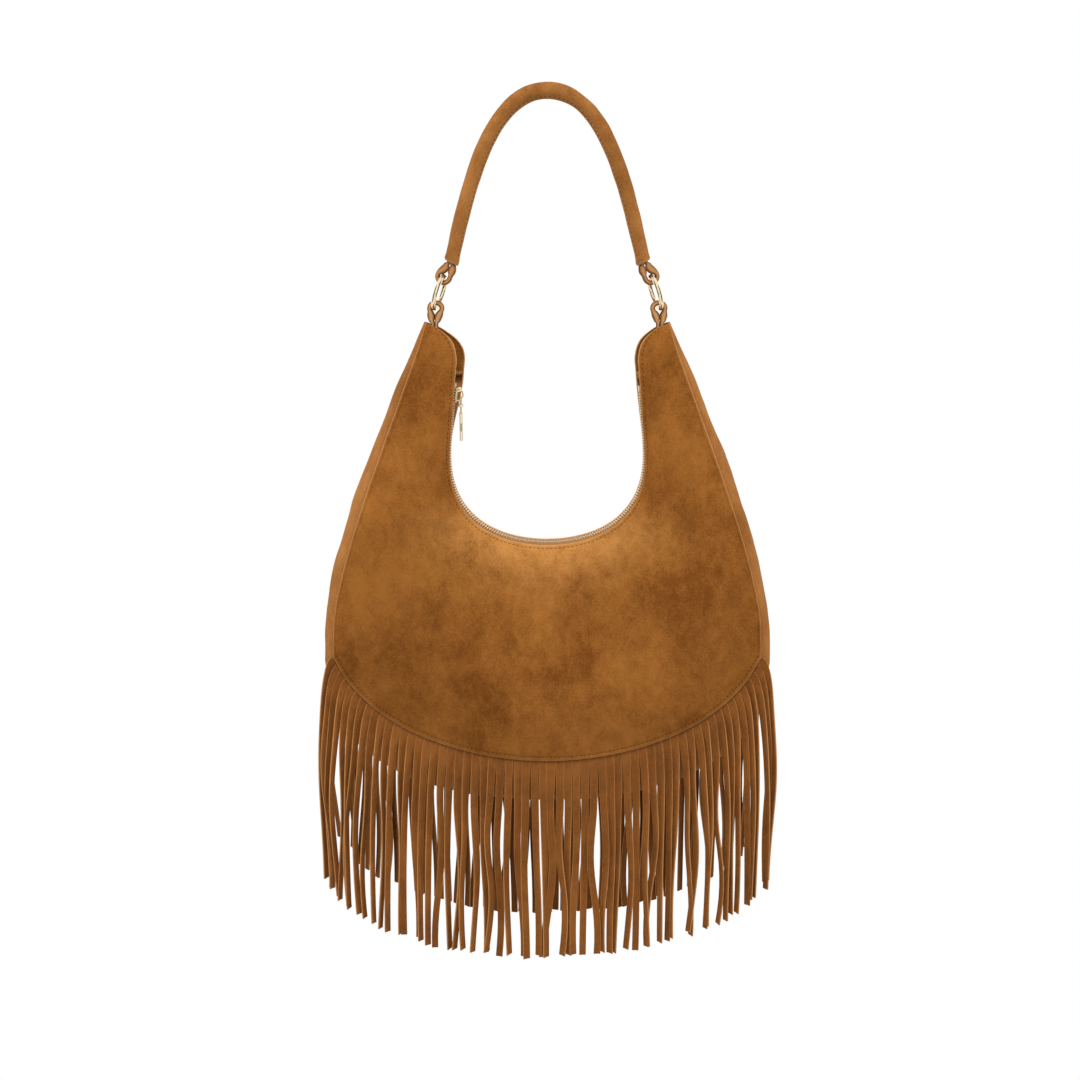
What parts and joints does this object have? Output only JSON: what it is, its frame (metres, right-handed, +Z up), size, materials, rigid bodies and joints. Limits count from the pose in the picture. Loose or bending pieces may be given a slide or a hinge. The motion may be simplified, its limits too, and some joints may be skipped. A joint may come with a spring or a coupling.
{
  "type": "fringed suede shoulder bag",
  "caption": "Crescent-shaped suede shoulder bag with a rolled handle on metal rings, a zipped U-shaped opening and long cut fringe hanging from its curved lower seams.",
  "frame": {"origin": "the hanging point, the underside of the handle's crown in the middle of the bag", "axes": "+Z up along the hung bag, +X to the viewer's right, the front faces -Y"},
  "size_m": [0.4002, 0.0898, 0.7454],
  "materials": {
    "suede_tan": "brushed suede nap, tan, matte",
    "suede_gusset": "brushed suede nap, tan, matte",
    "suede_fringe": "cut suede, matte, slightly darker",
    "suede_handle": "brushed suede nap, tan, matte",
    "zip_tape": "woven tape, brown",
    "zip_metal": "pale gold plated, satin",
    "pale_gold": "pale gold plated, polished",
    "cord_filler": "soft cotton filler cord"
  },
  "bodies": {
    "handle": {"handle_cover": "suede_handle", "handle_core": "cord_filler", "handle_loop_left": "suede_handle", "handle_loop_right": "suede_handle"},
    "ring_left": {"ring_left": "pale_gold"},
    "ring_right": {"ring_right": "pale_gold"},
    "bag": {"front_panel": "suede_tan", "back_panel": "suede_tan", "gusset": "suede_gusset", "front_fringe": "suede_fringe", "back_fringe": "suede_fringe", "zip_tape_front": "zip_tape", "zip_tape_back": "zip_tape", "zip_teeth_front": "zip_metal", "zip_teeth_back": "zip_metal", "zip_top_stop_front": "zip_metal", "zip_top_stop_back": "zip_metal", "zip_end_stop": "zip_metal", "bag_tab_left": "suede_tan", "bag_tab_right": "suede_tan"},
    "zip_slider": {"zip_slider": "pale_gold"},
    "pull_link": {"pull_link": "pale_gold"},
    "pull_bar": {"pull_bar": "pale_gold"}
  },
  "joints": [
    {"name": "bag_swing", "type": "hinge", "parent": "handle", "child": "bag", "pos_m": [0, 0, -0.15091], "axis": [1, 0, 0], "range_deg": [-80, 80]},
    {"name": "ring_left_turn", "type": "hinge", "parent": "handle", "child": "ring_left", "pos_m": [-0.0886, 0, -0.15091], "axis": [1, 0, 0], "range_deg": [-40, 40]},
    {"name": "ring_right_turn", "type": "hinge", "parent": "handle", "child": "ring_right", "pos_m": [0.0886, 0, -0.15091], "axis": [1, 0, 0], "range_deg": [-40, 40]},
    {"name": "zip_slide", "type": "slide", "parent": "bag", "child": "zip_slider", "axis": [-0.0965, 0, -0.9953], "range_m": [0, 0.035]},
    {"name": "pull_link_swing", "type": "hinge", "parent": "zip_slider", "child": "pull_link", "pos_m": [-0.07213, 0, -0.2363], "axis": [0, -1, 0], "range_deg": [0, 100]},
    {"name": "pull_bar_swing", "type": "hinge", "parent": "pull_link", "child": "pull_bar", "pos_m": [-0.07213, 0, -0.2437], "axis": [0, -1, 0], "range_deg": [0, 75]}
  ],
  "couplings": [
    {"joint": "ring_left_turn", "follows": "bag_swing", "ratio": 0.5},
    {"joint": "ring_right_turn", "follows": "bag_swing", "ratio": 0.5}
  ]
}
